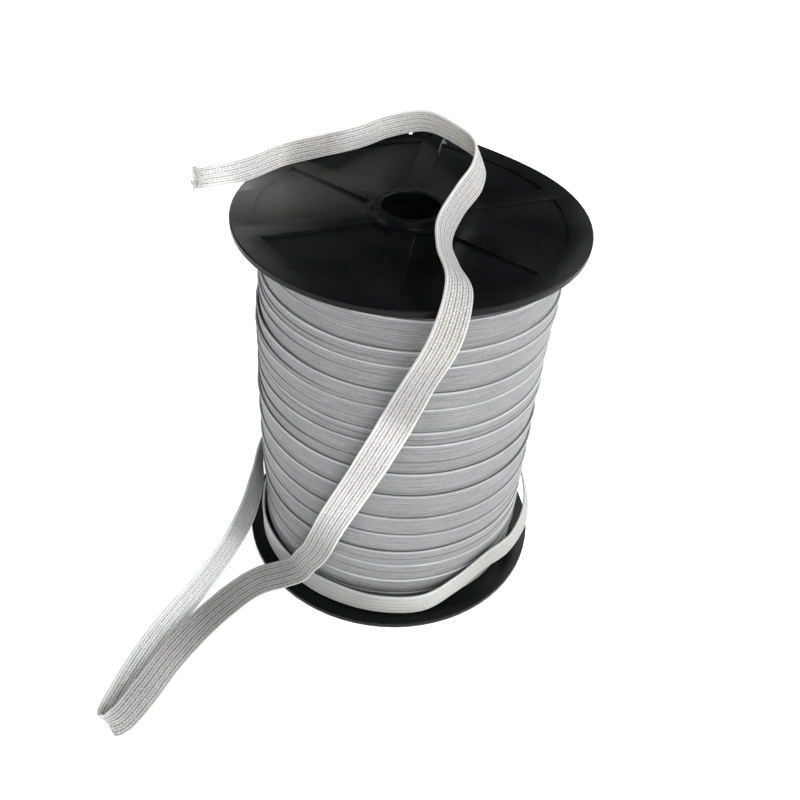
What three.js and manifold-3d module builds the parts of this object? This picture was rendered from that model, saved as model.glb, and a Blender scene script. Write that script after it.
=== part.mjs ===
// A plastic spool of braided elastic: two flanges on a tube, the wound tape between them, and
// the loose end, which lies over the top flange, runs down to the floor, turns back round the
// winding and ends as a slack turn on the bottom flange.
// Millimetres, +Z up. The spool is laid out round its own axis, and the whole is then moved so
// that the origin is the middle of its footprint.
import * as THREE from 'three';
import { mergeVertices } from 'three/addons/utils/BufferGeometryUtils.js';
import Module from 'manifold-3d';

const wasm = await Module();
wasm.setup();

// ---- driving dimensions -------------------------------------------------------------------
const spoolHeight = 164;        // over both flanges, without the raised hub
const flangeRadius = 66;
const flangeThickness = 2.8;
const rimChamfer = 0.4;
const boreRadius = 11.2;
const hubRadius = 15.2;
const hubRise = 2.4;            // the top hub stands above its flange by this
const armCount = 6;
const armWidth = 8.3;
const firstArmAngle = 23.5;     // degrees from +X
const pocketRadius = 57.4;      // outer edge of the recesses between the arms
const pocketInnerRadius = 17;
const pocketDepth = 1;
const rimLift = 3.6;             // the top flange has warped up by this at one side
const rimLiftAngle = 90;        // degrees from +X
const rimLiftSpread = 20;       // degrees
const barrelRadius = 15;
const seatGap = 0.3;            // between pieces that touch

const tapeWidth = 12;
const tapeThickness = 1.2;
const tailLength = 650;         // from the cut end to where the slack turn goes round

const flangeSegments = 72;
const barrelSegments = 40;
const pocketSegments = 10;
const windingSegments = 60;
const stripStep = 4;            // length of one step of the loose tape

// ---- the wound tape: one row for each turn of the outer layer, from the bottom ---------------
// top is the height of the turn's upper edge, radius its face, sway how far its edge wanders.
const turns = [
  { top: 13.0, radius: 57.8, sway: 0.0 },
  { top: 22.5, radius: 58.4, sway: 0.5 },
  { top: 32.0, radius: 59.0, sway: 0.8 },
  { top: 41.0, radius: 58.5, sway: 0.8 },
  { top: 50.5, radius: 59.1, sway: 0.6 },
  { top: 61.0, radius: 58.7, sway: 0.6 },
  { top: 74.0, radius: 59.2, sway: 0.8 },
  { top: 86.0, radius: 58.8, sway: 0.6 },
  { top: 100.0, radius: 59.3, sway: 0.7 },
  { top: 106.5, radius: 58.9, sway: 0.5 },
  { top: 117.5, radius: 59.3, sway: 0.6 },
  { top: 125.0, radius: 58.7, sway: 0.5 },
  { top: 136.5, radius: 59.1, sway: 0.6 },
  { top: 142.5, radius: 58.7, sway: 0.4 },
  { top: 156.0, radius: 58.9, sway: 0.4 },
  { top: 160.9, radius: 57.8, sway: 0.0 },
];
const turnEdgeStep = 0.9;       // an upper edge stands this much over the next turn's lower edge
const turnShoulder = 0.15;      // and this much over the turn's own face lower down
const shoulderShare = 0.3;      // where on the turn's height that face starts
const swayWaves = { count: 2, shift: 2.4 };   // how the edges wander round the spool
const bellyWaves = { count: 3, shift: 1.7, depth: 0.25 };  // and how the faces swell

// ---- the loose end: one row for each bend ----------------------------------------------------
// x, y, z is the middle of the tape, and ax, ay, az points across it to the same edge all along.
// From the cut end, over the top flange on its edge, round an arch and past the hub:
const overTheTop = [
  { x: -79, y: 1, z: 170.5, ax: 0.05, ay: -0.45, az: 0.9 },
  { x: -63.5, y: 8.5, z: 171.5, ax: 0, ay: -0.35, az: 0.95 },
  { x: -50, y: 21.5, z: 173, ax: 0.05, ay: -0.35, az: 0.95 },
  { x: -36.5, y: 33.5, z: 172.5, ax: 0.05, ay: -0.35, az: 0.95 },
  { x: -23.5, y: 45.5, z: 172, ax: 0, ay: -0.3, az: 0.95 },
  { x: -11, y: 56, z: 173.5, ax: -0.1, ay: -0.35, az: 0.95 },
  { x: 4, y: 57.5, z: 176, ax: -0.15, ay: -0.4, az: 0.9 },
  { x: 17.5, y: 43.5, z: 176, ax: -0.3, ay: -0.25, az: 0.9 },
  { x: 24.5, y: 26.5, z: 176.5, ax: -0.4, ay: -0.15, az: 0.9 },
  { x: 23.5, y: 8, z: 175.5, ax: -0.4, ay: -0.1, az: 0.9 },
  { x: 17, y: -9, z: 173.5, ax: -0.35, ay: -0.15, az: 0.95 },
  { x: 12, y: -27, z: 171.5, ax: -0.45, ay: -0.15, az: 0.85 },
  { x: 13, y: -44.5, z: 171.5, ax: -0.65, ay: -0.25, az: 0.7 },
];
// Over the rim and down in front of the winding, twisting flat, to the bottom flange:
const downTheFront = [
  { x: 16.5, y: -61.5, z: 170.5, ax: -0.75, ay: -0.3, az: 0.55 },
  { x: 13.5, y: -71, z: 157, ax: -0.85, ay: -0.25, az: 0.45 },
  { x: 6, y: -70, z: 136.5, ax: -0.9, ay: -0.2, az: 0.35 },
  { x: -2, y: -67.5, z: 112.5, ax: -0.95, ay: 0.15, az: 0.35 },
  { x: -11.5, y: -65, z: 87, ax: -0.9, ay: 0.3, az: 0.35 },
  { x: -22, y: -63, z: 61, ax: -0.9, ay: 0.3, az: 0.35 },
  { x: -29, y: -60, z: 39.5, ax: -0.85, ay: 0.4, az: 0.4 },
  { x: -34, y: -56.5, z: 28, ax: -0.75, ay: 0.5, az: 0.4 },
  { x: -38, y: -54, z: 19, ax: -0.65, ay: 0.6, az: 0.45 },
  { x: -45.5, y: -52.5, z: 12.5, ax: -0.55, ay: 0.65, az: 0.55 },
  { x: -55, y: -54, z: 9, ax: -0.55, ay: 0.6, az: 0.55 },
];
// Out over the floor, round a tight fold and back up to the side of the winding:
const outAndBack = [
  { x: -64.5, y: -61, z: 6.5, ax: -0.6, ay: 0.55, az: 0.6 },
  { x: -75.5, y: -75.5, z: 5.5, ax: -0.75, ay: 0.45, az: 0.5 },
  { x: -84, y: -92, z: 5.5, ax: -0.75, ay: 0.4, az: 0.5 },
  { x: -90, y: -109, z: 7, ax: -0.7, ay: 0.35, az: 0.6 },
  { x: -95.5, y: -120.5, z: 7, ax: -0.6, ay: 0.3, az: 0.75 },
  { x: -100.5, y: -122, z: 6.5, ax: -0.55, ay: 0.2, az: 0.8 },
  { x: -99, y: -110, z: 5.5, ax: -0.6, ay: 0.15, az: 0.75 },
  { x: -94.5, y: -93, z: 5.5, ax: -0.7, ay: 0.15, az: 0.7 },
  { x: -88, y: -76, z: 7, ax: -0.6, ay: 0, az: 0.8 },
  { x: -78.5, y: -61.5, z: 13, ax: -0.45, ay: -0.15, az: 0.9 },
  { x: -69.5, y: -47, z: 20.5, ax: -0.45, ay: -0.25, az: 0.85 },
  { x: -63.5, y: -31.5, z: 27, ax: -0.45, ay: -0.2, az: 0.85 },
  { x: -61.5, y: -14.5, z: 32.5, ax: -0.35, ay: -0.25, az: 0.9 },
];
// The rest goes round the winding: angle from +X in degrees, the radius and height of the
// tape's middle, and lean, how far its upper edge leans out in degrees.
const slackTurn = [
  { angle: 178, radius: 61.3, height: 38, lean: 0 },
  { angle: 150, radius: 61, height: 40.6, lean: 0 },
  { angle: 120, radius: 60.8, height: 40.9, lean: 0 },
  { angle: 90, radius: 60.6, height: 39.1, lean: 0 },
  { angle: 60, radius: 60.7, height: 35.6, lean: -3 },
  { angle: 32, radius: 61.6, height: 30, lean: -10 },
  { angle: 10, radius: 63.3, height: 25.1, lean: -19 },
  { angle: -10, radius: 64.5, height: 21, lean: -13 },
  { angle: -27, radius: 62.9, height: 18, lean: -3 },
  { angle: -45, radius: 60.8, height: 19.7, lean: 2 },
  { angle: -60, radius: 61.1, height: 14.4, lean: 3 },
  { angle: -75, radius: 62.5, height: 9.8, lean: 3 },
  { angle: -94, radius: 62.2, height: 9.9, lean: 4 },
  { angle: -113, radius: 61.2, height: 9.9, lean: 0 },
  { angle: -130, radius: 61, height: 9.7, lean: 0 },
  { angle: -148, radius: 61.1, height: 9.6, lean: 0 },
  { angle: -165, radius: 61.1, height: 9.6, lean: 0 },
  { angle: -185, radius: 60.6, height: 10.2, lean: 0 },
  { angle: -205, radius: 60, height: 11, lean: 0 },
  { angle: -228, radius: 59.7, height: 11.5, lean: 0 },
];

// ---- helpers --------------------------------------------------------------------------------
const degrees = THREE.MathUtils.degToRad;

function solid(geometry) {
  const bare = geometry.clone();
  bare.deleteAttribute('normal');
  bare.deleteAttribute('uv');
  const merged = mergeVertices(bare, 1e-4);
  return new wasm.Manifold(new wasm.Mesh({
    numProp: 3,
    vertProperties: new Float32Array(merged.attributes.position.array),
    triVerts: new Uint32Array(merged.index.array),
  }));
}

function indexed(positions, index) {
  const geometry = new THREE.BufferGeometry();
  geometry.setAttribute('position', new THREE.BufferAttribute(new Float32Array(positions), 3));
  geometry.setIndex(new THREE.BufferAttribute(new Uint32Array(index), 1));
  return geometry;
}

function toGeometry(body) {
  const mesh = body.getMesh();
  return indexed(mesh.vertProperties, mesh.triVerts);
}

// A ring turned about Z from a closed list of [radius, height] corners.
function turned(corners, segments) {
  const closed = [...corners, corners[0]].map(([radius, height]) => new THREE.Vector2(radius, height));
  const geometry = new THREE.LatheGeometry(closed, segments);
  geometry.rotateX(Math.PI / 2);
  return geometry;
}

function material(color, roughness) {
  return new THREE.MeshStandardMaterial({ color, roughness, metalness: 0 });
}

function piece(name, geometry, look) {
  const mesh = new THREE.Mesh(geometry, look);
  mesh.name = name;
  return mesh;
}

// ---- the spool ------------------------------------------------------------------------------
// One recess between two arms, as a flat shape centred on +X.
function pocketShape() {
  const sector = Math.PI / armCount;
  const outer = sector - Math.asin(armWidth / 2 / pocketRadius);
  const inner = sector - Math.asin(armWidth / 2 / pocketInnerRadius);
  const shape = new THREE.Shape();
  shape.absarc(0, 0, pocketRadius, -outer, outer, false);
  shape.absarc(0, 0, pocketInnerRadius, inner, -inner, true);
  return shape;
}

// A flange with its outer face up at height 0 and its inner face flangeThickness below.
function flange(rise) {
  const inner = -flangeThickness;
  let body = solid(turned([
    [boreRadius, inner],
    [flangeRadius - rimChamfer, inner],
    [flangeRadius, inner + rimChamfer],
    [flangeRadius, -rimChamfer],
    [flangeRadius - rimChamfer, 0],
    [hubRadius + rimChamfer, 0],
    [hubRadius, rise > 0 ? rimChamfer : 0],
    [hubRadius - rimChamfer, rise],
    [boreRadius + rimChamfer, rise],
    [boreRadius, rise - rimChamfer],
  ], flangeSegments));
  for (let i = 0; i < armCount; i += 1) {
    const cutter = new THREE.ExtrudeGeometry(pocketShape(), {
      depth: pocketDepth * 2, bevelEnabled: false, curveSegments: pocketSegments,
    });
    cutter.translate(0, 0, -pocketDepth);
    cutter.rotateZ(degrees(firstArmAngle + (i + 0.5) * 360 / armCount));
    body = body.subtract(solid(cutter));
  }
  return toGeometry(body);
}

// Lifts one side of the top flange's rim, most at rimLiftAngle.
function warp(geometry) {
  const points = geometry.attributes.position;
  const middle = degrees(rimLiftAngle);
  for (let i = 0; i < points.count; i += 1) {
    const x = points.getX(i);
    const y = points.getY(i);
    const turn = Math.atan2(Math.sin(Math.atan2(y, x) - middle), Math.cos(Math.atan2(y, x) - middle));
    const reach = (x * x + y * y) / flangeRadius ** 2;
    const lift = rimLift * reach * Math.exp(-0.5 * (turn / degrees(rimLiftSpread)) ** 2);
    points.setZ(i, points.getZ(i) + lift);
  }
  return geometry;
}

function topFlange() {
  const geometry = warp(flange(hubRise));
  geometry.translate(0, 0, spoolHeight);
  return geometry;
}

function bottomFlange() {
  const geometry = flange(0);
  geometry.rotateX(Math.PI);
  return geometry;
}

function barrel() {
  const low = flangeThickness + seatGap;
  const high = spoolHeight - flangeThickness - seatGap;
  const corners = [[boreRadius, low], [barrelRadius, low], [barrelRadius, high], [boreRadius, high]];
  return turned(corners, barrelSegments);
}

// ---- the wound tape --------------------------------------------------------------------------
function windingGeometry() {
  const low = flangeThickness + seatGap;
  const inner = barrelRadius + seatGap;
  const rows = [];
  rows.push({ height: low, radius: inner, sway: 0, phase: 0 });
  let base = low;
  turns.forEach((turn, i) => {
    const below = i === 0 ? 0 : turns[i - 1].sway;
    const edge = turn.radius - turnEdgeStep;
    const rise = turn.top - base;
    rows.push({ height: base, radius: edge, sway: below, phase: i });
    const shoulder = turn.radius - turnShoulder;
    rows.push({ height: base + rise * shoulderShare, radius: shoulder, sway: below, phase: i });
    rows.push({ height: turn.top, radius: turn.radius, sway: turn.sway, phase: i + 1 });
    base = turn.top;
  });
  rows.push({ height: base, radius: inner, sway: 0, phase: 0 });
  const positions = [];
  const index = [];
  for (const row of rows) {
    for (let k = 0; k < windingSegments; k += 1) {
      const angle = k * 2 * Math.PI / windingSegments;
      const wave = row.sway * Math.sin(angle * swayWaves.count + row.phase * swayWaves.shift);
      const swell = Math.sin(angle * bellyWaves.count + row.phase * bellyWaves.shift);
      const radius = row.radius + (row.radius > inner ? bellyWaves.depth * swell : 0);
      positions.push(radius * Math.cos(angle), radius * Math.sin(angle), row.height + wave);
    }
  }
  rows.forEach((row, j) => {
    const next = (j + 1) % rows.length;
    for (let k = 0; k < windingSegments; k += 1) {
      const side = (k + 1) % windingSegments;
      const a = j * windingSegments + k;
      const b = j * windingSegments + side;
      const c = next * windingSegments + side;
      const d = next * windingSegments + k;
      index.push(a, b, c, a, c, d);
    }
  });
  return indexed(positions, index);
}

// ---- the loose tape --------------------------------------------------------------------------
function tapeStations() {
  const stations = [...overTheTop, ...downTheFront, ...outAndBack].map((row) => ({
    middle: new THREE.Vector3(row.x, row.y, row.z),
    across: new THREE.Vector3(row.ax, row.ay, row.az).normalize(),
  }));
  for (const row of slackTurn) {
    const out = new THREE.Vector3(Math.cos(degrees(row.angle)), Math.sin(degrees(row.angle)), 0);
    const up = new THREE.Vector3(0, 0, Math.cos(degrees(row.lean)));
    stations.push({
      middle: out.clone().multiplyScalar(row.radius).setZ(row.height),
      across: up.addScaledVector(out, Math.sin(degrees(row.lean))),
    });
  }
  return stations;
}

// Smooth curves through the stations: the middle of the tape, and the way across it.
function tapeCurves() {
  const stations = tapeStations();
  return {
    path: new THREE.CatmullRomCurve3(stations.map((s) => s.middle), false, 'catmullrom', 0.5),
    lay: new THREE.CatmullRomCurve3(stations.map((s) => s.across), false, 'catmullrom', 0.5),
  };
}

// A strip of the tape's section between two lengths measured from the cut end.
function tapeGeometry(curves, from, to) {
  const total = curves.path.getLength();
  const steps = Math.round((to - from) / stripStep);
  const positions = [];
  for (let i = 0; i <= steps; i += 1) {
    const t = curves.path.getUtoTmapping((from + (to - from) * i / steps) / total);
    const middle = curves.path.getPoint(t);
    const along = curves.path.getTangent(t);
    const across = curves.lay.getPoint(t);
    across.addScaledVector(along, -across.dot(along)).normalize();
    const face = new THREE.Vector3().crossVectors(along, across);
    for (const [side, depth] of [[1, -1], [-1, -1], [-1, 1], [1, 1]]) {
      const corner = middle.clone();
      corner.addScaledVector(across, side * tapeWidth / 2);
      corner.addScaledVector(face, depth * tapeThickness / 2);
      positions.push(corner.x, corner.y, corner.z);
    }
  }
  const index = [0, 1, 2, 0, 2, 3];
  for (let i = 0; i < steps; i += 1) {
    for (let k = 0; k < 4; k += 1) {
      const a = i * 4 + k;
      const b = i * 4 + (k + 1) % 4;
      index.push(a, a + 4, b + 4, a, b + 4, b);
    }
  }
  const last = steps * 4;
  index.push(last, last + 2, last + 1, last, last + 3, last + 2);
  return indexed(positions, index);
}

// ---- the whole roll --------------------------------------------------------------------------
const plastic = material(0x17181a, 0.38);
const barrelPlastic = material(0x101112, 0.5);
const woundTape = material(0xb9bbbb, 0.8);
const looseTape = material(0xd8d9d6, 0.72);
const tape = tapeCurves();

const roll = new THREE.Group();
roll.add(piece('flange_bottom', bottomFlange(), plastic));
roll.add(piece('barrel', barrel(), barrelPlastic));
roll.add(piece('winding', windingGeometry(), woundTape));
roll.add(piece('flange_top', topFlange(), plastic));
roll.add(piece('loose_end', tapeGeometry(tape, 0, tailLength - seatGap / 2), looseTape));
const turnStart = tailLength + seatGap / 2;
roll.add(piece('slack_turn', tapeGeometry(tape, turnStart, tape.path.getLength()), looseTape));

const footprint = new THREE.Box3().setFromObject(roll);
const middle = footprint.getCenter(new THREE.Vector3());
roll.position.set(-middle.x, -middle.y, 0);
roll.updateMatrixWorld(true);

export default roll;
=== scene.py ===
"""Looks of a spool of braided elastic: black moulded flanges, the wound tape and its loose end.

Sizes are in millimetres round the spool's own axis and are turned into metres at the mesh.
"""

import math

import bmesh
import bpy
import numpy as np
from mathutils import Matrix, Vector


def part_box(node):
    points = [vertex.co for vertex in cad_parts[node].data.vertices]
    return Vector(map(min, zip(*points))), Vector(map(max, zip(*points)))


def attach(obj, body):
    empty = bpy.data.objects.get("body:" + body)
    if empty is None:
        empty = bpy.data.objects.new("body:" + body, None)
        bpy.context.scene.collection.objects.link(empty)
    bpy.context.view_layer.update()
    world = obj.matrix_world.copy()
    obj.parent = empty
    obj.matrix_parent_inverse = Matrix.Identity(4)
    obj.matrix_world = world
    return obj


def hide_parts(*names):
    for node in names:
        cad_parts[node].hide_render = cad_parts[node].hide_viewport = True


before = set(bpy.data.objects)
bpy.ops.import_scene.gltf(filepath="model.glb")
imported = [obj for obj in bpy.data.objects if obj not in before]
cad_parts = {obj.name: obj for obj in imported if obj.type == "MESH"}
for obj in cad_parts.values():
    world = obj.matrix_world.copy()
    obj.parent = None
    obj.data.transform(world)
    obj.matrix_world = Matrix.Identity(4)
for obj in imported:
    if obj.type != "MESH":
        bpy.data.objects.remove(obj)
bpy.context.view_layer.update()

MM = 0.001                                     # in metres
RNG = np.random.default_rng(12)

# ---- the spool ------------------------------------------------------------------------------
bottom_low, bottom_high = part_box("flange_bottom")
AXIS = (bottom_low + bottom_high) / 2          # the spool's own axis in the row frame
FLANGE_RADIUS = (bottom_high.x - bottom_low.x) / 2 / MM
FLANGE_THICKNESS = (bottom_high.z - bottom_low.z) / MM
SPOOL_HEIGHT = 164.0                           # over both flanges, without the raised hub

EDGE_ROUNDING = 0.42                           # how far a moulded edge's rounding reaches in
SHARP = math.radians(35)                       # edges that turn more than this are rounded
CREASED = math.radians(32)                     # and these are shaded as creases afterwards
HUB_TOP = (14.0, 15.4)                         # the hub's upper edge lies between these radii
HUB_EDGE_DEPTH = 1.1                           # and less than this below its top
SHOULDER_IN = 0.9                              # that edge is drawn in by this
SHOULDER_DOWN = 0.18                           # and down by this
RIM_WIDTH = 3.0                                # the rim's own edges get no painted highlight
FRONT_HALF_WIDTH = 15.0                        # nor are those of the arm at the front

# How far each flange's rim stands out past a true circle: outward, along x and along y.
TOP_SPREAD = (0.7, 0.6, -0.4)
BOTTOM_SPREAD = (1.4, 0.0, 0.0)
SPREAD_FROM = 40.0                             # the radius at which that starts
# The top flange's warped rim stands up a little more in one place.
RIM_PEAK = 1.5
RIM_PEAK_ANGLE = 86.0                          # degrees
RIM_PEAK_SPREAD = 11.0                         # degrees
# A small hole and a nick at that rim: x, y and radius.
RIM_HOLES = [(5.8, 61.2, 1.0), (-2.4, 63.2, 1.7), (-2.4, 66.2, 1.7)]

# ---- the tape -------------------------------------------------------------------------------
TAPE_WIDTH = 12.0
TAPE_THICKNESS = 1.05
TAPE_RIBS = 10
RIB_DEPTH = 0.2
RIB_SAMPLES = 4                                # points across one rib
ROW_SAMPLES = 48                               # points of the path from one row to the next
TAPE_STEP = 1.25                               # length of one step of the loose tape
RAGGED = 0.9                                   # the cut end's ribs end this far in or out
YARN_ENDS = 170                                # loose yarns at the cut end
YARN_SIDES = 5

STITCH_PITCH = 1.2                             # length of one knitted stitch
STITCH_SLANT = 0.45                            # of a stitch, from one side of a rib to the other
STITCH_SHIFT = 0.43                            # of a stitch, from one rib to the next
SELVEDGE = (5.15, 5.6)                         # from the middle, where the selvedge starts
FOOT_SHADE = (1.2, 3.2)                            # from a turn's lower edge, how far its painted shade reaches

# The way of the loose end: x, y, z is the middle of the tape, and ax, ay, az points across it.
OVER_THE_TOP = [
    (-79, 1, 170.5, 0.05, -0.45, 0.9),
    (-63.5, 8.5, 171.5, 0, -0.35, 0.95),
    (-50, 21.5, 173, 0.05, -0.35, 0.95),
    (-36.5, 33.5, 172.5, 0.05, -0.35, 0.95),
    (-23.5, 45.5, 172, 0, -0.3, 0.95),
    (-11, 56, 173.5, -0.1, -0.35, 0.95),
    (4, 57.5, 176, -0.15, -0.4, 0.9),
    (17.5, 43.5, 176, -0.3, -0.25, 0.9),
    (24.5, 26.5, 176.5, -0.4, -0.15, 0.9),
    (23.5, 8, 175.5, -0.4, -0.1, 0.9),
    (17, -9, 173.5, -0.35, -0.15, 0.95),
    (12, -27, 171.5, -0.45, -0.15, 0.85),
    (13, -44.5, 171.5, -0.65, -0.25, 0.7),
]
DOWN_THE_FRONT = [
    (16.5, -61.5, 170.5, -0.75, -0.3, 0.55),
    (13.5, -71, 157, -0.85, -0.25, 0.45),
    (6, -70, 136.5, -0.9, -0.2, 0.35),
    (-2, -67.5, 112.5, -0.95, 0.15, 0.35),
    (-11.5, -65, 87, -0.9, 0.3, 0.35),
    (-22, -63, 61, -0.9, 0.3, 0.35),
    (-29, -60, 39.5, -0.85, 0.4, 0.4),
    (-34, -56.5, 28, -0.75, 0.5, 0.4),
    (-38, -54, 19, -0.65, 0.6, 0.45),
    (-45.5, -52.5, 12.5, -0.55, 0.65, 0.55),
    (-55, -54, 9, -0.55, 0.6, 0.55),
]
OUT_AND_BACK = [
    (-64.5, -61, 6.5, -0.6, 0.55, 0.6),
    (-75.5, -75.5, 5.5, -0.75, 0.45, 0.5),
    (-84, -92, 5.5, -0.75, 0.4, 0.5),
    (-90, -109, 7, -0.7, 0.35, 0.6),
    (-95.5, -120.5, 7, -0.6, 0.3, 0.75),
    (-100.5, -122, 6.5, -0.55, 0.2, 0.8),
    (-99, -110, 5.5, -0.6, 0.15, 0.75),
    (-94.5, -93, 5.5, -0.7, 0.15, 0.7),
    (-88, -76, 7, -0.6, 0, 0.8),
    (-78.5, -61.5, 13, -0.45, -0.15, 0.9),
    (-69.5, -47, 20.5, -0.45, -0.25, 0.85),
    (-63.5, -31.5, 27, -0.45, -0.2, 0.85),
    (-61.5, -14.5, 32.5, -0.35, -0.25, 0.9),
]
# Round the foot: angle, radius, height and lean. The last two rows run on past the solid's end,
# where the tape goes under the winding's outer turns.
SLACK_TURN = [
    (178, 61.3, 38, 0),
    (150, 61, 40.6, 0),
    (120, 60.8, 40.9, 0),
    (90, 60.6, 39.1, 0),
    (60, 60.7, 35.6, -3),
    (32, 61.6, 30, -10),
    (10, 63.3, 25.1, -19),
    (-10, 64.5, 21, -13),
    (-27, 62.9, 18, -3),
    (-45, 60.8, 19.7, 2),
    (-60, 61.1, 14.4, 3),
    (-75, 62.5, 9.8, 3),
    (-94, 62.2, 9.9, 4),
    (-113, 61.2, 9.9, 0),
    (-130, 61, 9.7, 0),
    (-148, 61.1, 9.6, 0),
    (-165, 61.1, 9.6, 0),
    (-185, 60.6, 10.2, 0),
    (-205, 60, 11, 0),
    (-228, 59.7, 11.5, 0),
    (-243, 58.3, 11.7, 0),
    (-260, 56.2, 12, 0),
]

# Painted light and shade along the loose tape: paler where light falls on it, greyer where it lies
# in shade.
# Each row is a length from the cut end, and the tone there.
PAINTED_LIGHT_ALONG_TAPE = [
    (0, 0.8),
    (7, 1.3),
    (34, 1.3),
    (41, 0.85),
    (57, 0.85),
    (66, 1.3),
    (126, 1.3),
    (142, 0.86),
    (230, 0.68),
    (284, 0.52),
    (298, 0.9),
    (350, 0.88),
    (372, 0.44),
    (402, 0.38),
    (446, 0.38),
    (475, 0.72),
    (505, 0.62),
    (514, 0.95),
    (535, 1.05),
    (594, 0.95),
    (604, 0.56),
    (850, 0.55),
    (885, 0.48),
    (915, 0.66),
    (945, 0.42),
    (965, 0.42),
    (990, 0.6),
    (1110, 0.65),
]

# ---- the winding ----------------------------------------------------------------------------
# Height of each turn's upper edge where it passes the front.
TURN_TOPS = [13, 22.5, 32, 41, 50.5, 61, 74, 86, 100, 106.5, 117.5, 125, 136.5, 142.5, 156, 168]
TOP_SAMPLES = 64                               # heights worked out from one to the next
TURN_STEPS = 168                               # steps round one turn
TURN_RADIUS = 57.95                            # radius of a turn's lower edge
TURN_TILT = 0.85                               # its upper edge stands out by this
BETWEEN_RADIUS = 57.75                         # turns wound between them, less proud
BETWEEN_TILT = 0.6
END_DEPTH = 1.6                                # each end of a winding lies in by this
END_STEPS = 24                                 # over this many steps
LEFT_SIDE = 192.0                              # degrees, the side that is pinched at the top
WINDING_GAP = 0.45                             # between the turns and each flange

CORE_RADIUS = 56.6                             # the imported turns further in
CORE_BORE = 15.4
CORE_GAP = 0.4                                 # between them and each flange
CORE_ROWS = 27
CORE_SEGMENTS = 96
GROOVE_RADIUS = 51.0                           # the groove round them under the top flange
GROOVE_HEIGHT = 3.3

# The wound tape's section: share of the width from the lower edge, and how far it stands out.
WOUND_FACE = [
    (0.0, -0.1),
    (0.012, 0.26),
    (0.04, 0.38),
    (0.075, 0.3),
    (0.11, 0.26),
    (0.3, 0.33),
    (0.5, 0.36),
    (0.7, 0.34),
    (0.87, 0.28),
    (0.91, 0.34),
    (0.945, 0.5),
    (0.975, 0.5),
    (0.995, 0.3),
    (1.0, -0.1),
    (0.97, -0.38),
    (0.03, -0.38),
]

# ---- colours --------------------------------------------------------------------------------
PALE = (0.985, 0.98, 0.96)                     # the loose tape's tint
GREY = (0.97, 0.985, 1.0)                      # the wound tape's tint
WARMER = (1.0, 0.98, 0.935)                    # what patches of the loose tape are tinted by
COOLER = (0.975, 0.995, 1.02)                  # and its length beyond 0.5 m
DUST = (0.22, 0.22, 0.21, 1)
DUST_AMOUNT = 0.05
PAINTED_EDGE_HIGHLIGHT = (0.05, 0.05, 0.05, 1)                 # the plastic's painted highlight on rounded edges
# Where the painted sheen on the top flange lies, how far in metres it reaches, and how grey it is.
PAINTED_SHEEN_SPOT = (AXIS.x - 61 * MM, AXIS.y + 13 * MM, 0.164)
PAINTED_SHEEN_REACH = (0.004, 0.046)
PAINTED_SHEEN = (0.14, 0.144, 0.137, 1)

# ---- camera, light and floor ----------------------------------------------------------------
# The camera's place from the spool's axis and the floor, its angles in degrees and its lens.
CAMERA_BACK = 279.1
CAMERA_HEIGHT = 304.8
CAMERA_PITCH = 39.73
CAMERA_YAW = 0.235
CAMERA_ROLL = 4.217
CAMERA_LENS = 37.09
SENSOR_WIDTH = 36.0

LIGHT_DISTANCE = 1.4                           # metres
LIGHT_AIM = 0.55                               # the share of the spool's height that they face
# name, azimuth and elevation in degrees, size in metres, power in watts
SOFT_BOXES = [
    ("right", 0, 28, 1.1, 10.5),
    ("front_right", -45, 30, 0.9, 7.0),
    ("front_low", -88, 7, 0.8, 9.5),
    ("front_high", -60, 60, 0.7, 3.0),
    ("left", 180, 35, 0.7, 2.4),
    ("front_left", -125, 10, 0.6, 2.8),
    ("back_right", 55, 40, 0.4, 6.0),
    ("back_sheen", 112, 28, 0.3, 1.0),
]

FLOOR_SIZE = 6.0                               # metres
FLOOR_GLOW = 0.75                              # the floor's own light round the spool
FLOOR_GLOW_AWAY = 1.0                          # and away from it
ROOM_LIGHT = 0.02                              # how much the room lights the spool


# ---- meshes ---------------------------------------------------------------------------------
def link(name, data):
    """A new object for a mesh, camera or light, in the scene."""
    thing = bpy.data.objects.new(name, data)
    bpy.context.scene.collection.objects.link(thing)
    return thing


def make_object(name, verts, faces, uvs):
    """A smooth object from vertices round the spool's axis, with one uv per vertex."""
    mesh = bpy.data.meshes.new(name)
    placed = np.asarray(verts, float) * MM + np.array([AXIS.x, AXIS.y, 0.0])
    mesh.from_pydata(placed.tolist(), [], faces)
    layer = mesh.uv_layers.new(name="tape")
    loops = np.zeros(len(mesh.loops), np.int32)
    mesh.loops.foreach_get("vertex_index", loops)
    metres = np.asarray(np.asarray(uvs, float) * MM, np.float32)
    layer.data.foreach_set("uv", metres[loops].ravel())
    mesh.polygons.foreach_set("use_smooth", [True] * len(mesh.polygons))
    mesh.update()
    return link(name, mesh)


def catmull_rom(points, samples):
    """Points along a uniform Catmull-Rom curve through the rows, samples to each stretch."""
    points = np.asarray(points, float)
    ends = np.vstack([2 * points[0] - points[1], points, 2 * points[-1] - points[-2]])
    p0, p1, p2, p3 = (ends[i : len(ends) - 3 + i][:, None, :] for i in range(4))
    t = (np.arange(samples) / samples)[None, :, None]
    slope1 = (p2 - p0) / 2
    slope2 = (p3 - p1) / 2
    curve = (2 * p1 - 2 * p2 + slope1 + slope2) * t**3
    curve = curve + (-3 * p1 + 3 * p2 - 2 * slope1 - slope2) * t**2 + slope1 * t + p1
    return np.vstack([curve.reshape(-1, points.shape[1]), points[-1:]])


def unit(vectors):
    return vectors / np.linalg.norm(vectors, axis=-1, keepdims=True)


def ramp(values, start, end):
    """0 up to start, 1 from end on, and even in between."""
    return np.clip((values - start) / (end - start), 0, 1)


def smooth_noise(count, spacing, amount):
    """A gently wandering value at each of count steps, with knots spacing steps apart."""
    knots = RNG.normal(0, amount, (int(count / spacing) + 4, 1))
    return catmull_rom(knots, int(spacing) + 1)[:count, 0]


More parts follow.
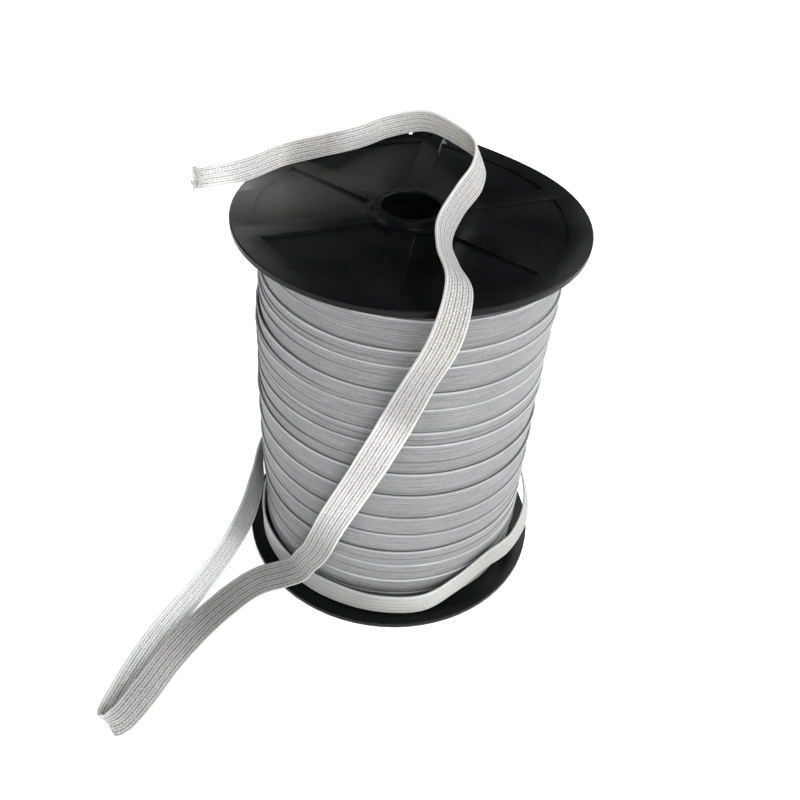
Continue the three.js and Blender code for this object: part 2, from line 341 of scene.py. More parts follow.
# ---- the loose tape -------------------------------------------------------------------------
def tape_path():
    """Middle, across, face and length at even steps along the loose tape."""
    rows = np.array(OVER_THE_TOP + DOWN_THE_FRONT + OUT_AND_BACK, float)
    turn = np.array(SLACK_TURN, float)
    angle, lean = np.radians(turn[:, 0]), np.radians(turn[:, 3])
    out = np.stack([np.cos(angle), np.sin(angle), 0 * angle], 1)
    up = np.array([0.0, 0.0, 1.0])
    round_middles = out * turn[:, 1:2] + up * turn[:, 2:3]
    round_acrosses = up * np.cos(lean)[:, None] + out * np.sin(lean)[:, None]
    middle = catmull_rom(np.vstack([rows[:, :3], round_middles]), ROW_SAMPLES)
    across = catmull_rom(np.vstack([unit(rows[:, 3:]), round_acrosses]), ROW_SAMPLES)
    length = np.concatenate([[0], np.cumsum(np.linalg.norm(np.diff(middle, axis=0), axis=1))])
    steps = int(round(length[-1] / TAPE_STEP))
    even = np.linspace(0, length[-1], steps + 1)
    middle = np.stack([np.interp(even, length, middle[:, k]) for k in range(3)], 1)
    across = np.stack([np.interp(even, length, across[:, k]) for k in range(3)], 1)
    along = unit(np.gradient(middle, axis=0))
    across = unit(across - (across * along).sum(1, keepdims=True) * along)
    return middle, across, np.cross(along, across), even


def tape_section():
    """The tape's ribbed section: (across, out) points, front face first, and their v values."""
    count = TAPE_RIBS * RIB_SAMPLES
    share = np.arange(count + 1) / count
    # Round ribs with narrow grooves, every second one deeper, and thin selvedges.
    rib = np.abs(np.sin(np.pi * TAPE_RIBS * share)) ** 0.55
    uneven = 0.75 + 0.25 * np.cos(np.pi * np.round(TAPE_RIBS * share))
    edge = np.clip(np.minimum(share, 1 - share) * TAPE_RIBS * 2.2, 0, 1) ** 0.5
    out = (TAPE_THICKNESS / 2 - RIB_DEPTH * uneven * (1 - rib)) * (0.35 + 0.65 * edge)
    across = (0.5 - share) * TAPE_WIDTH
    front = np.stack([across, out], 1)
    back = np.stack([across[::-1], -out[::-1]], 1)
    v = np.concatenate([share, share[::-1]]) * TAPE_WIDTH
    return np.vstack([front, back]), v


def ring_faces(steps, ring):
    """Faces of a closed section carried along steps places, with a cap at each end."""
    faces = []
    for start in range(0, (steps - 1) * ring, ring):
        for k in range(ring):
            n = (k + 1) % ring
            faces.append((start + k, start + n, start + ring + n, start + ring + k))
    last = (steps - 1) * ring
    faces.append(tuple(range(ring - 1, -1, -1)))
    faces.append(tuple(range(last, last + ring)))
    return faces


def loose_tape(path):
    """The tail and the slack turn as one ribbed tape."""
    middle, across, face, length = path
    section, v = tape_section()
    count, ring = len(middle), len(section)
    verts = middle[:, None, :] + across[:, None, :] * section[None, :, 0:1]
    verts = verts + face[:, None, :] * section[None, :, 1:2]
    uvs = np.stack([np.repeat(length, ring), np.tile(v, count)], 1)
    # The selvedges waver a little and the tape is nowhere quite flat.
    wander = smooth_noise(count, 5, 0.05)[:, None]
    curl = smooth_noise(count, 26, 0.16)[:, None]
    share = section[:, 0] / (TAPE_WIDTH / 2)
    verts += across[:, None, :] * (wander * np.sign(share) * np.abs(share) ** 4)[:, :, None]
    verts += face[:, None, :] * (curl * (share**2 - 0.35))[:, :, None]
    # Its cut end is ragged, a little further out at some ribs than at others.
    ragged = RNG.uniform(-RAGGED, RAGGED, TAPE_RIBS + 1)
    reach = np.interp(share, np.linspace(-1, 1, TAPE_RIBS + 1), ragged)
    ahead = unit(middle[0] - middle[4])
    verts[0] += ahead * reach[:, None]
    verts[1] += ahead * (reach / 2)[:, None]
    return make_object("elastic_tape", verts.reshape(-1, 3), ring_faces(count, ring), uvs)


def yarn(path, radius):
    """Vertices and faces of a thin tapering yarn along a short path."""
    path = np.asarray(path, float)
    along = unit(np.gradient(path, axis=0))
    side = unit(np.cross(along, [0.31, 0.52, 0.79]))
    other = np.cross(along, side)
    verts = []
    for i, point in enumerate(path):
        size = radius * (1 - 0.55 * i / (len(path) - 1))
        for k in range(YARN_SIDES):
            turn = 2 * math.pi * k / YARN_SIDES
            verts.append(point + size * (math.cos(turn) * side[i] + math.sin(turn) * other[i]))
    return verts, ring_faces(len(path), YARN_SIDES)


def frayed_yarns(path):
    """Short yarn ends that stand out of the cut end, curled back over its lower corner."""
    middle, across, face, _ = path
    start, side, out = middle[0], across[0], face[0]
    ahead = unit(middle[0] - middle[4])
    verts, faces = [], []
    for _ in range(YARN_ENDS):
        place = RNG.uniform(-1, 1)
        low = max(0.0, -place - 0.2)
        reach = RNG.uniform(0.7, 2.2) + 2.2 * low * RNG.uniform(0.3, 1)
        curl = out * RNG.normal(0.2, 0.9) + side * RNG.normal(-0.2 + 0.7 * low, 0.8)
        lean = side * RNG.normal(0, 0.3) + out * RNG.normal(0, 0.4)
        root = start + side * place * (TAPE_WIDTH / 2 - 0.3) + out * RNG.uniform(-0.3, 0.3)
        bend = [
            root + (ahead * (1 - 0.35 * t) + lean * t) * reach * t + curl * reach * 0.6 * t * t
            for t in np.linspace(-0.5, 1, 8)
        ]
        yarn_verts, yarn_faces = yarn(bend, RNG.uniform(0.14, 0.3))
        base = len(verts)
        verts += yarn_verts
        faces += [tuple(base + k for k in face) for face in yarn_faces]
    # They take the selvedge's look, 0.6 mm from the tape's edge.
    return make_object("frayed_yarns", verts, faces, np.full((len(verts), 2), 0.6))


# ---- the winding ----------------------------------------------------------------------------
def turn_tops(count):
    """Each step's turn, from half a turn before the lowest one's front, and its upper edge."""
    turns = np.arange(count) / TURN_STEPS - 0.5
    tops = catmull_rom(np.array(TURN_TOPS, float)[:, None], TOP_SAMPLES)[:, 0]
    place = np.interp(turns, np.arange(len(tops)) / TOP_SAMPLES, tops)
    return turns, place + np.minimum(turns, 0) * (TURN_TOPS[1] - TURN_TOPS[0])


def drawn_in(angle, place):
    """How far in each step of a winding lies, from its angle and the height of its upper edge."""
    step = np.arange(len(place))
    to_end = np.minimum(step, len(place) - 1 - step)
    end = END_DEPTH * np.clip(1 - to_end / END_STEPS, 0, 1)
    left = np.clip(np.cos(angle - np.radians(LEFT_SIDE)), 0, 1) ** 3
    right = np.clip(np.cos(angle), 0, 1) ** 2
    # Pinched at the left near the top, and proud lower down there and at the right's top.
    pinch = 2.3 * left * ramp(place, 122, 142)
    belly = 0.9 * left * np.exp(-(((place - 75) / 22) ** 2))
    shoulder = 0.8 * right * ramp(place, 125, 140)
    return end + pinch - belly - shoulder


def wound_turns(name, turns, place, radius, tilt):
    """A tape wound round the spool: for each step its turn, upper edge, radius and tilt."""
    count = len(turns)
    angle = np.radians(-90.0) - 2 * np.pi * turns
    # The lowest turns lie further in, down to the foot.
    radius = radius - 1.1 * np.clip((20 - place) / 12, 0, 1)
    radius = radius - drawn_in(angle, place)
    section = np.array(WOUND_FACE, float)
    share = section[:, 0]                      # 0 at the lower edge and 1 at the upper
    low = FLANGE_THICKNESS + WINDING_GAP
    # At the front left the turns stop a little short of the top flange.
    short = 0.5 + 2.4 * np.clip(np.cos(angle + np.radians(115.0)), 0, 1) ** 2
    high = SPOOL_HEIGHT - FLANGE_THICKNESS - WINDING_GAP - short[:, None]
    # What would reach past a flange is folded in against it.
    height = place[:, None] - (1 - share[None, :]) * TAPE_WIDTH
    crush = 0.12 * (np.maximum(height - high, 0) + np.maximum(low - height, 0))
    out = radius[:, None] + tilt[:, None] * share[None, :] + section[None, :, 1] - crush
    height = np.minimum(np.maximum(height, low), high)
    x = out * np.cos(angle)[:, None]
    y = out * np.sin(angle)[:, None]
    verts = np.stack([x, y, height], -1).reshape(-1, 3)
    ring = len(section)
    # Each face is turned over, to face out.
    faces = [face[:1] + face[:0:-1] for face in ring_faces(count, ring)]
    length = np.abs(angle - angle[0]) * TURN_RADIUS
    uvs = np.stack([np.repeat(length, ring), np.tile(share * TAPE_WIDTH, count)], 1)
    return make_object(name, verts, faces, uvs)


def winding_layer():
    """The outer layer: one tape wound round the spool, each turn over the foot of the next."""
    count = (len(TURN_TOPS) - 1) * TURN_STEPS + TURN_STEPS // 2
    turns, place = turn_tops(count)
    place = place + smooth_noise(count, TURN_STEPS / 3.3, 0.4)
    radius = TURN_RADIUS + smooth_noise(count, TURN_STEPS / 5.1, 0.1)
    tilt = TURN_TILT + smooth_noise(count, TURN_STEPS / 4.2, 0.12)
    return wound_turns("winding_turns", turns, place, radius, tilt)


def between_layer():
    """Turns that lie between the outer ones and wander, so only their edges show."""
    count = (len(TURN_TOPS) - 1) * TURN_STEPS
    turns, place = turn_tops(count + TURN_STEPS)
    middle = (place[:count] + place[TURN_STEPS:]) / 2
    middle = middle + smooth_noise(count, TURN_STEPS / 2.3, 1.5)
    radius = BETWEEN_RADIUS + smooth_noise(count, TURN_STEPS / 4.4, 0.12)
    tilt = BETWEEN_TILT + smooth_noise(count, TURN_STEPS / 3.7, 0.18)
    return wound_turns("between_turns", turns[:count], middle, radius, tilt)


def winding_core():
    """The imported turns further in, a ring that closes the winding down to the tube."""
    low, high = FLANGE_THICKNESS + CORE_GAP, SPOOL_HEIGHT - FLANGE_THICKNESS - CORE_GAP
    profile = [(CORE_BORE, low)]
    # Its rows lie in and out by turns, and it is narrower at the foot and towards the top.
    for i, z in enumerate(np.linspace(low, high, CORE_ROWS)[:-1]):
        radius = CORE_RADIUS - 0.5 * (i % 2) - max(0, 20 - z) / 11 - max(0, z - 104) / 17
        profile.append((radius, z))
    # A groove runs round it under the top flange.
    profile[-1] = (profile[-1][0], high - GROOVE_HEIGHT - 0.1)
    profile += [(GROOVE_RADIUS, high - GROOVE_HEIGHT), (GROOVE_RADIUS, high), (CORE_BORE, high)]
    verts, uvs = [], []
    for radius, z in profile:
        for k in range(CORE_SEGMENTS):
            angle = 2 * math.pi * k / CORE_SEGMENTS
            verts.append((radius * math.cos(angle), radius * math.sin(angle), z))
            uvs.append((angle * CORE_RADIUS, z % TAPE_WIDTH))
    faces = []
    for i in range(len(profile)):
        a, b = i * CORE_SEGMENTS, (i + 1) % len(profile) * CORE_SEGMENTS
        for k in range(CORE_SEGMENTS):
            n = (k + 1) % CORE_SEGMENTS
            faces.append((a + k, a + n, b + n, b + k))
    return make_object("winding_core", verts, faces, uvs)


# ---- the flanges ----------------------------------------------------------------------------
def from_axis(point):
    """A point's x, y and distance from the spool's axis, in millimetres."""
    x, y = (point.x - AXIS.x) / MM, (point.y - AXIS.y) / MM
    return x, y, math.hypot(x, y)


def round_edges(shape):
    """Rounds a flange's sharp edges as a moulding's are, and returns the new faces."""
    bmesh.ops.remove_doubles(shape, verts=shape.verts, dist=1e-6)
    flat = math.radians(0.4)
    bmesh.ops.dissolve_limit(shape, angle_limit=flat, verts=shape.verts, edges=shape.edges)
    rounded = bmesh.ops.bevel(
        shape,
        geom=[e for e in shape.edges if e.is_manifold and e.calc_face_angle() > SHARP],
        offset=EDGE_ROUNDING * MM,
        segments=3,
        profile=0.6,
        affect="EDGES",
        clamp_overlap=True,
    )
    return rounded["faces"]


def mark_highlit_edges(shape, rounded):
    """Marks the rounded edges that get a painted highlight: those inside the rim, but not at the
    front.
    """
    marks = shape.loops.layers.uv.new("rubbed")
    for face in rounded:
        x, y, radius = from_axis(face.calc_center_median())
        at_front = y < 0 and abs(x) < FRONT_HALF_WIDTH
        mark = 1.0 if radius < FLANGE_RADIUS - RIM_WIDTH and not at_front else 0.0
        for loop in face.loops:
            loop[marks].uv = (mark, 0.5)


def shade_smooth(shape):
    for face in shape.faces:
        face.smooth = True
    for edge in shape.edges:
        edge.smooth = not (edge.is_manifold and edge.calc_face_angle() > CREASED)


def slope_shoulder(shape):
    """Slopes the hub's outer shoulder: its upper edge is drawn in and down."""
    inner, outer = HUB_TOP
    top = max(vert.co.z for vert in shape.verts if from_axis(vert.co)[2] < inner)
    for vert in shape.verts:
        radius = from_axis(vert.co)[2]
        if inner < radius < outer and top - vert.co.z < HUB_EDGE_DEPTH * MM:
            vert.co.x += (AXIS.x - vert.co.x) * SHOULDER_IN / radius
            vert.co.y += (AXIS.y - vert.co.y) * SHOULDER_IN / radius
            vert.co.z -= SHOULDER_DOWN * MM


def spread_rim(shape, spread):
    """Moves a flange's outer part so that its rim stands out past a true circle."""
    outward, aside, back = spread
    for vert in shape.verts:
        x, y, radius = from_axis(vert.co)
        share = min(1.0, max(0.0, (radius - SPREAD_FROM) / (FLANGE_RADIUS - SPREAD_FROM)))
        if share:
            vert.co.x += share * (outward * x / radius + aside) * MM
            vert.co.y += share * (outward * y / radius + back) * MM


def lift_rim(shape):
    """Lifts the top flange's warped rim a little more in one place."""
    for vert in shape.verts:
        x, y, radius = from_axis(vert.co)
        turn = math.degrees(math.atan2(y, x)) - RIM_PEAK_ANGLE
        reach = (radius / FLANGE_RADIUS) ** 2
        vert.co.z += RIM_PEAK * reach * math.exp(-0.5 * (turn / RIM_PEAK_SPREAD) ** 2) * MM


def pierce(thing, holes):
    """Cuts small round holes down through a flange: x, y and radius."""
    for x, y, radius in holes:
        mesh = bpy.data.meshes.new("cutter")
        shape = bmesh.new()
        bmesh.ops.create_cone(
            shape,
            cap_ends=True,
            segments=20,
            radius1=radius * MM,
            radius2=radius * MM,
            depth=30 * MM,
            matrix=Matrix.Translation((AXIS.x + x * MM, AXIS.y + y * MM, SPOOL_HEIGHT * MM)),
        )
        shape.to_mesh(mesh)
        shape.free()
        cutter = link("cutter", mesh)
        cut = thing.modifiers.new("hole", "BOOLEAN")
        cut.object = cutter
        cut.operation = "DIFFERENCE"
        cut.solver = "EXACT"
        graph = bpy.context.evaluated_depsgraph_get()
        pierced = bpy.data.meshes.new_from_object(thing.evaluated_get(graph))
        thing.modifiers.clear()
        thing.data = pierced
        bpy.data.objects.remove(cutter)


def moulded(node, name, spread, is_top):
    """A copy of a flange with rounded edges and its rim as it really is."""
    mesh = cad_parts[node].data.copy()
    mesh.materials.clear()
    shape = bmesh.new()
    shape.from_mesh(mesh)
    mark_highlit_edges(shape, round_edges(shape))
    shade_smooth(shape)
    if is_top:
        slope_shoulder(shape)
    spread_rim(shape, spread)
    if is_top:
        lift_rim(shape)
    shape.to_mesh(mesh)
    shape.free()
    thing = link(name, mesh)
    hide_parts(node)
    return thing


# ---- materials ------------------------------------------------------------------------------
class Nodes:
    """A short way to write a node tree. A value is a number, a colour or a node's output."""

    def __init__(self, name):
        self.material = bpy.data.materials.new(name)
        self.material.use_nodes = True
        self.tree = self.material.node_tree
        self.shader = self.tree.nodes["Principled BSDF"]

    def put(self, socket, value):
        if isinstance(value, bpy.types.NodeSocket):
            self.tree.links.new(value, socket)
        else:
            socket.default_value = value

    def principled(self, **settings):
        """Sets the shader's own sockets: Sheen_Weight=0.2 sets its Sheen Weight."""
        for name, value in settings.items():
            self.put(self.shader.inputs[name.replace("_", " ")], value)

    def math(self, operation, a, b=0.0):
        node = self.tree.nodes.new("ShaderNodeMath")
        node.operation = operation
        self.put(node.inputs[0], a)
        self.put(node.inputs[1], b)
        return node.outputs[0]

    def span(self, value, low, high, to_low, to_high):
        """The value's place between low and high, as a value between to_low and to_high."""
        node = self.tree.nodes.new("ShaderNodeMapRange")
        node.clamp = True
        for socket, item in zip(node.inputs, (value, low, high, to_low, to_high)):
            self.put(socket, item)
        return node.outputs["Result"]

    def noise(self, vector, scale, detail=4.0, rough=0.55):
        node = self.tree.nodes.new("ShaderNodeTexNoise")
        self.put(node.inputs["Vector"], vector)
        node.inputs["Scale"].default_value = scale
        node.inputs["Detail"].default_value = detail
        node.inputs["Roughness"].default_value = rough
        return node.outputs["Fac"]

    def mix(self, factor, first, second):
        """First and second colour, blended."""
        node = self.tree.nodes.new("ShaderNodeMix")
        node.data_type = "RGBA"
        # Its colour sockets come after those for plain numbers and vectors.
        self.put(node.inputs["Factor"], factor)
        self.put(node.inputs[6], first)
        self.put(node.inputs[7], second)
        return node.outputs[2]

    def vector(self, operation, a, b, b_socket=1):
        node = self.tree.nodes.new("ShaderNodeVectorMath")
        node.operation = operation
        self.put(node.inputs[0], a)
        self.put(node.inputs[b_socket], b)
        return node

    def scaled(self, colour, factor):
        return self.vector("SCALE", colour, factor, "Scale").outputs["Vector"]

    def steps(self, length, painted_tones):
        """A value that goes from tone to tone along a length."""
        last = painted_tones[-1][0]
        top = max(tone for _, tone in painted_tones)
        node = self.tree.nodes.new("ShaderNodeValToRGB")
        self.put(node.inputs["Fac"], self.math("DIVIDE", length, last * MM))
        stops = node.color_ramp.elements
        while len(stops) < len(painted_tones):
            stops.new(0.5)
        for stop, (spot, tone) in zip(stops, painted_tones):
            stop.position = spot / last
            stop.color = (tone / top,) * 3 + (1,)
        return self.math("MULTIPLY", node.outputs["Color"], top)

    def bump(self, height, strength, distance):
        node = self.tree.nodes.new("ShaderNodeBump")
        node.inputs["Strength"].default_value = strength
        node.inputs["Distance"].default_value = distance
        self.put(node.inputs["Height"], height)
        return node.outputs["Normal"]

    def place(self):
        """Where a point of the surface is, in metres."""
        return self.tree.nodes.new("ShaderNodeTexCoord").outputs["Object"]

    def uv(self, name):
        """The two values of one of the mesh's uv layers."""
        layer = self.tree.nodes.new("ShaderNodeUVMap")
        layer.uv_map = name
        parts = self.tree.nodes.new("ShaderNodeSeparateXYZ")
        self.put(parts.inputs[0], layer.outputs["UV"])
        return parts.outputs["X"], parts.outputs["Y"]


def shade(colour, factor=1.0):
    """A colour made darker or paler by a factor, up to white."""
    return tuple(min(1.0, channel * factor) for channel in colour) + (1,)


def with_painted_sheen(n, tone, cloud):
    """The colour with a painted sheen on one side of the flange."""
    away = n.vector("DISTANCE", n.place(), PAINTED_SHEEN_SPOT).outputs["Value"]
    sheen_mask = n.math("POWER", n.span(away, *PAINTED_SHEEN_REACH, 1.0, 0.0), 2.0)
    sheen_mask = n.math("MULTIPLY", sheen_mask, n.span(cloud, 0.3, 0.7, 0.75, 1.0))
    return n.mix(sheen_mask, tone, PAINTED_SHEEN)


def plastic(name, colour, roughness, sheen_and_highlights=False):
    """Black moulded plastic with faint flow marks and dust, and if sheen_and_highlights, a painted
    sheen on one side and painted highlights on the rounded edges.
    """
    n = Nodes(name)
    where = n.place()
    cloud = n.noise(where, 45.0, 5.0)
    fine = n.noise(where, 1400.0, 3.0)
    dust = n.span(n.noise(where, 620.0, 2.0, 0.7), 0.70, 0.78, 0.0, DUST_AMOUNT)
    tone = n.mix(n.span(cloud, 0.35, 0.7, 0.0, 1.0), shade(colour), shade(colour, 1.35))
    if sheen_and_highlights:
        # A painted sheen on one side of the top flange, and painted highlights on the rounded
        # edges.
        tone = with_painted_sheen(n, tone, cloud)
        mark, _ = n.uv("rubbed")
        rubbed = n.math("MULTIPLY", mark, n.span(cloud, 0.42, 0.62, 0.15, 1.0))
        tone = n.mix(rubbed, tone, PAINTED_EDGE_HIGHLIGHT)
    rough = n.math("ADD", n.span(cloud, 0.3, 0.7, roughness - 0.05, roughness + 0.07), dust)
    height = n.math("ADD", n.math("MULTIPLY", fine, 0.25), cloud)
    n.principled(
        Base_Color=n.mix(dust, tone, DUST),
        Roughness=rough,
        Specular_IOR_Level=0.15,
        Normal=n.bump(height, 0.05, 0.4 * MM),
    )
    return n.material


def ribs(n, across):
    """Which rib a place is on, its way off that rib's middle, and the depth of its groove."""
    number = n.math("MULTIPLY", across, TAPE_RIBS / (TAPE_WIDTH * MM))
    inside = n.math("SUBTRACT", n.math("FRACT", number), 0.5)
    # Every second groove is the deeper one.
    odd = n.math("MODULO", n.math("ROUND", number), 2.0)
    return n.math("FLOOR", number), inside, n.span(odd, 0.0, 1.0, 1.0, 0.6)


def stitches(n, along, rib, inside):
    """Slanting loops on each rib, out of step with those of the next rib: 0 to 1."""
    side = n.math("SUBTRACT", n.math("MULTIPLY", n.math("MODULO", rib, 2.0), 2.0), 1.0)
    slant = n.math("MULTIPLY", n.math("MULTIPLY", inside, side), STITCH_SLANT)
    phase = n.math("ADD", n.math("MULTIPLY", along, 1 / (STITCH_PITCH * MM)), slant)
    phase = n.math("ADD", phase, n.math("MULTIPLY", rib, STITCH_SHIFT))
    wave = n.math("SINE", n.math("MULTIPLY", phase, 2 * math.pi))
    return n.math("ADD", n.math("MULTIPLY", wave, 0.5), 0.5)


def elastic(name, tone, tint, ribs_show, glow, edge, lines, painted_tones=None):
    """Knitted elastic: ribs of small stitches, painted shade as dark dots between them, and pale
    selvedges that are partly painted highlight.

    ribs_show is how clearly the ribs show, glow the subsurface weight, edge how pale the selvedges
    are, partly as painted highlight and below 1 as painted dark lines, lines how strong the fine
    lines along it and painted_tones the painted light and shade at each length.
    """
    n = Nodes(name)
    along, across = n.uv("tape")
    where = n.place()
    rib, inside, groove_depth = ribs(n, across)
    stitch = stitches(n, along, rib, inside)
    off_middle = n.math("MULTIPLY", n.math("ABSOLUTE", inside), 2.0)
    grooves = n.math("MULTIPLY", n.span(off_middle, 0.35, 0.9, 0.0, 1.0), groove_depth)
    fibres = n.noise(where, 3000.0, 2.0, 0.6)
    glints = n.noise(where, 900.0, 2.0, 0.7)

    # The yarn's own colour, patchy and here and there a little warmer.
    body = tuple(channel * tone for channel in tint)
    warm = tuple(channel * warmth for channel, warmth in zip(body, WARMER))
    patches = n.span(n.noise(where, 34.0, 3.0), 0.3, 0.7, 0.0, 1.0)
    colour = n.mix(patches, shade(body), shade(body, 0.85))
    warmed = n.span(n.noise(where, 21.0, 2.0), 0.5, 0.62, 0.0, 1.0)
    colour = n.mix(n.math("MULTIPLY", warmed, ribs_show), colour, shade(warm))

    # Painted shade as dark dots in the grooves and painted glints on the stitches, fainter towards
    # the loose tape's far end.
    pattern = n.span(along, 0.52, 0.86, ribs_show, 0.45 * ribs_show) if painted_tones else ribs_show
    dots = n.math("MULTIPLY", grooves, n.span(stitch, 0.1, 0.8, 1.0, 0.6))
    colour = n.mix(n.math("MULTIPLY", dots, pattern), colour, shade(body, 0.12))
    painted_glints = n.math("MULTIPLY", n.span(glints, 0.45, 0.65, 0.0, 0.75), stitch)
    colour = n.mix(n.math("MULTIPLY", painted_glints, pattern), colour, shade(body, 1.6))

    # Fine uneven lines along the tape, and stitches that are paler than what is between them.
    drawn = n.tree.nodes.new("ShaderNodeCombineXYZ")
    n.put(drawn.inputs["X"], n.math("MULTIPLY", along, 0.045))
    n.put(drawn.inputs["Y"], across)
    streaks = n.noise(drawn.outputs[0], 1500.0, 3.0, 0.65)
    colour = n.scaled(colour, n.span(streaks, 0.3, 0.7, 1 - lines, 1 + 0.8 * lines))
    colour = n.scaled(colour, n.span(stitch, 0.0, 1.0, 1 - 0.12 * ribs_show, 1.0))

    # Selvedges that are paler here than there, partly painted highlight, and painted shade on the
    # foot of each wound turn.
    from_middle = n.math("ABSOLUTE", n.math("SUBTRACT", across, TAPE_WIDTH * MM / 2))
    selvedge = n.span(from_middle, SELVEDGE[0] * MM, SELVEDGE[1] * MM, 0.0, 1.0)
    uneven = n.span(n.noise(where, 24.0, 2.0), 0.36, 0.62, 0.15, 1.0)
    strength = n.math("ADD", n.math("MULTIPLY", uneven, 1 - ribs_show), 0.85 * ribs_show)
    colour = n.mix(n.math("MULTIPLY", selvedge, strength), colour, shade(body, edge))
    foot = n.span(across, FOOT_SHADE[0] * MM, FOOT_SHADE[1] * MM, 0.6, 0.0)
    colour = n.mix(n.math("MULTIPLY", foot, 1 - ribs_show), colour, shade(body, 0.4))
    # Painted light and shade along the loose tape's length.
    if painted_tones:
        colour = n.scaled(colour, n.steps(along, painted_tones))
        cooler = n.vector("MULTIPLY", colour, COOLER).outputs["Vector"]
        colour = n.mix(n.span(along, 0.48, 0.54, 0.0, 1.0), colour, cooler)

    cubed = n.math("MULTIPLY", n.math("POWER", off_middle, 3.0), groove_depth)
    height = n.math("MULTIPLY", n.math("SUBTRACT", 1.0, cubed), 0.7)
    height = n.math("ADD", height, n.math("MULTIPLY", stitch, 0.3))
    height = n.math("ADD", height, n.math("MULTIPLY", fibres, 0.35))
    n.principled(
        Base_Color=colour,
        Roughness=n.span(glints, 0.35, 0.7, 0.75, 0.5),
        Specular_IOR_Level=0.45,
        Sheen_Weight=0.2,
        Sheen_Roughness=0.5,
        Subsurface_Weight=glow,
        Subsurface_Radius=(1.0, 0.98, 0.91),
        Subsurface_Scale=1.8 * MM,
        Normal=n.bump(height, 0.35 + 0.45 * ribs_show, 0.3 * MM),
    )
    return n.material


def floor_material():
    """A pale floor that glows as a light table does."""
    n = Nodes("pale_floor")
    where = n.place()
    away = n.vector("LENGTH", where, (0, 0, 0)).outputs["Value"]
    n.principled(
        Base_Color=n.mix(n.noise(where, 6.0, 3.0), (0.86, 0.86, 0.86, 1), (0.9, 0.9, 0.9, 1)),
        Roughness=0.9,
        Specular_IOR_Level=0.1,
        Emission_Color=(1, 1, 1, 1),
        Emission_Strength=n.span(away, 0.25, 1.0, FLOOR_GLOW, FLOOR_GLOW_AWAY),
    )
    return n.material


# ---- the scene ------------------------------------------------------------------------------
def add_camera():
    pitch, yaw, roll = (math.radians(a) for a in (CAMERA_PITCH, CAMERA_YAW, CAMERA_ROLL))
    level = Vector((math.sin(yaw), math.cos(yaw), 0))
    ahead = level * math.cos(pitch) - Vector((0, 0, math.sin(pitch)))
    side = ahead.cross(Vector((0, 0, 1))).normalized()
    up = side.cross(ahead)
    right = math.cos(roll) * side + math.sin(roll) * up
    top = -math.sin(roll) * side + math.cos(roll) * up
    data = bpy.data.cameras.new("camera")
    data.lens = CAMERA_LENS
    data.sensor_width = SENSOR_WIDTH
    data.clip_start = 0.01
    data.clip_end = 50.0
    camera = link("camera", data)
    turn = Matrix((right, top, -ahead)).transposed().to_4x4()
    spot = Vector((AXIS.x, AXIS.y - CAMERA_BACK * MM, CAMERA_HEIGHT * MM))
    camera.matrix_world = Matrix.Translation(spot) @ turn
    bpy.context.scene.camera = camera


def add_light(name, azimuth, elevation, size, power):
    """A soft box that faces the middle of the spool."""
    data = bpy.data.lights.new(name, "AREA")
    data.shape = "SQUARE"
    data.size = size
    data.energy = power
    turn, rise = math.radians(azimuth), math.radians(elevation)
    level = Vector((math.cos(turn), math.sin(turn), 0)) * math.cos(rise)
    away = level + Vector((0, 0, math.sin(rise)))
    middle = Vector((AXIS.x, AXIS.y, SPOOL_HEIGHT * MM * LIGHT_AIM))
    facing = (-away).to_track_quat("-Z", "Y").to_matrix().to_4x4()
    link(name, data).matrix_world = Matrix.Translation(middle + away * LIGHT_DISTANCE) @ facing


def add_floor():
    half = FLOOR_SIZE / 2
    corners = [(-half, -half, 0), (half, -half, 0), (half, half, 0), (-half, half, 0)]
    mesh = bpy.data.meshes.new("floor")
    mesh.from_pydata(corners, [], [(0, 1, 2, 3)])
    mesh.materials.append(floor_material())
    link("floor", mesh)


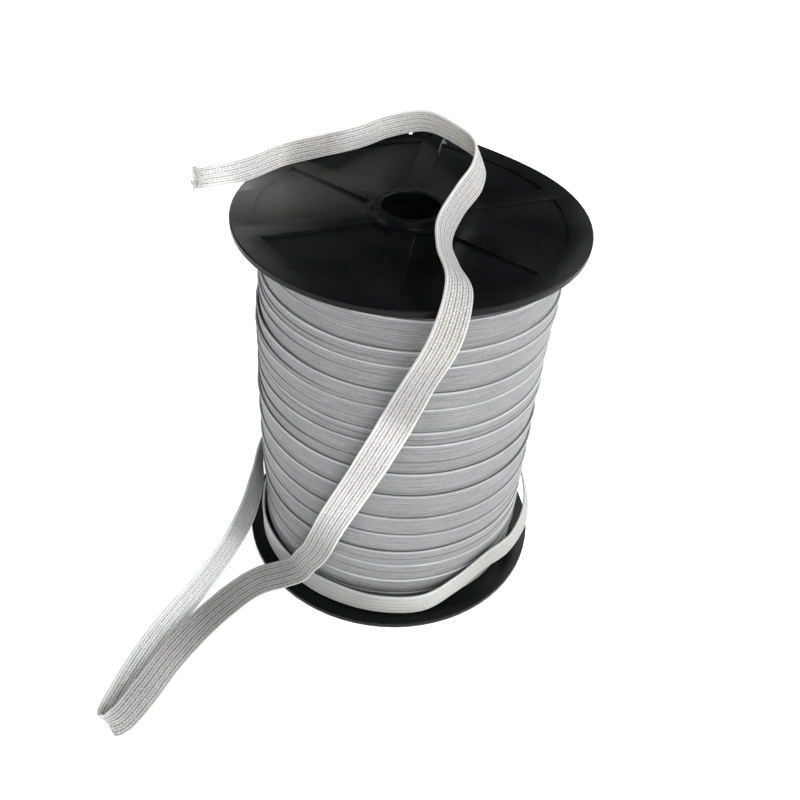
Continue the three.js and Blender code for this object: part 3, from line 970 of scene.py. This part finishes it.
def add_room():
    """A room that is white to the camera and barely lights the spool."""
    world = bpy.data.worlds.new("soft_light")
    world.use_nodes = True
    nodes, links = world.node_tree.nodes, world.node_tree.links
    room = nodes["Background"]
    room.inputs["Color"].default_value = (1.0, 1.0, 1.0, 1)
    seen = nodes.new("ShaderNodeLightPath").outputs["Is Camera Ray"]
    level = nodes.new("ShaderNodeMath")
    level.operation = "MAXIMUM"
    level.inputs[1].default_value = ROOM_LIGHT
    links.new(seen, level.inputs[0])
    links.new(level.outputs[0], room.inputs["Strength"])
    bpy.context.scene.world = world


def dress_spool():
    black = plastic("black_plastic", (0.003, 0.0034, 0.0038), 0.29, sheen_and_highlights=True)
    core = plastic("core_plastic", (0.008, 0.008, 0.009), 0.45)
    top = moulded("flange_top", "top_flange", TOP_SPREAD, is_top=True)
    pierce(top, RIM_HOLES)
    bottom = moulded("flange_bottom", "bottom_flange", BOTTOM_SPREAD, is_top=False)
    for flange in (top, bottom):
        flange.data.materials.append(black)
        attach(flange, "root")
    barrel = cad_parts["barrel"]
    barrel.data.materials.clear()
    barrel.data.materials.append(core)


def dress_winding():
    # The wound tape is much darker than the loose tape: partly its stretched yarn, partly painted
    # shade. Its pale selvedges are partly painted highlight, and the between turns' darker ones are
    # painted shade lines.
    wound = elastic("wound_elastic", 0.248, GREY, ribs_show=0.35, glow=0.08, edge=2.1, lines=0.3)
    between = elastic(
        "between_elastic", 0.236, GREY, ribs_show=0.35, glow=0.08, edge=0.6, lines=0.3
    )
    turns = winding_layer()
    for piece, look in ((turns, wound), (between_layer(), between), (winding_core(), between)):
        piece.data.materials.append(look)
        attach(piece, "root")
    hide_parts("winding")
    return turns


def dress_tape(turns):
    loose = elastic(
        "loose_elastic",
        0.82,
        PALE,
        ribs_show=1.0,
        glow=0.7,
        edge=1.6,
        lines=0.1,
        painted_tones=PAINTED_LIGHT_ALONG_TAPE,
    )
    path = tape_path()
    tape = loose_tape(path)
    yarns = frayed_yarns(path)
    for piece in (tape, yarns):
        piece.data.materials.append(loose)
        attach(piece, "root")
    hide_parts("loose_end", "slack_turn")


add_camera()
dress_spool()
dress_tape(dress_winding())
add_floor()
add_room()
bpy.context.scene.view_settings.view_transform = "Standard"
for soft_box in SOFT_BOXES:
    add_light(*soft_box)
